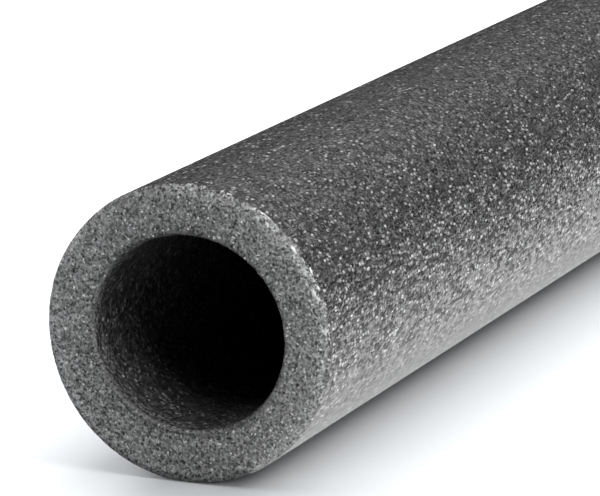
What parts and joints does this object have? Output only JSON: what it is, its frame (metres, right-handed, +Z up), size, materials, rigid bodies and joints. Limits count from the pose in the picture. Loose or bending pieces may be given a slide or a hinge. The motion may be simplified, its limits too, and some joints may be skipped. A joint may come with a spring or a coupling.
{
  "type": "pipe insulation tube",
  "caption": "Straight length of dark grey closed-cell foam pipe lagging, a thick-walled soft tube with square-cut ends that slips over a pipe.",
  "frame": {"origin": "on the surface that the tube lies on, under the middle of its length", "axes": "+X along the tube from the end nearest the picture's camera to the far end, +Y across, +Z up"},
  "size_m": [1, 0.054, 0.0539],
  "materials": {
    "foam": "closed-cell polyethylene foam, dark grey: fine pebbled skin outside and in the bore with small glints, open torn cells on the cut ends"
  },
  "bodies": {
    "root": {"foam_tube": "foam"}
  },
  "joints": []
}
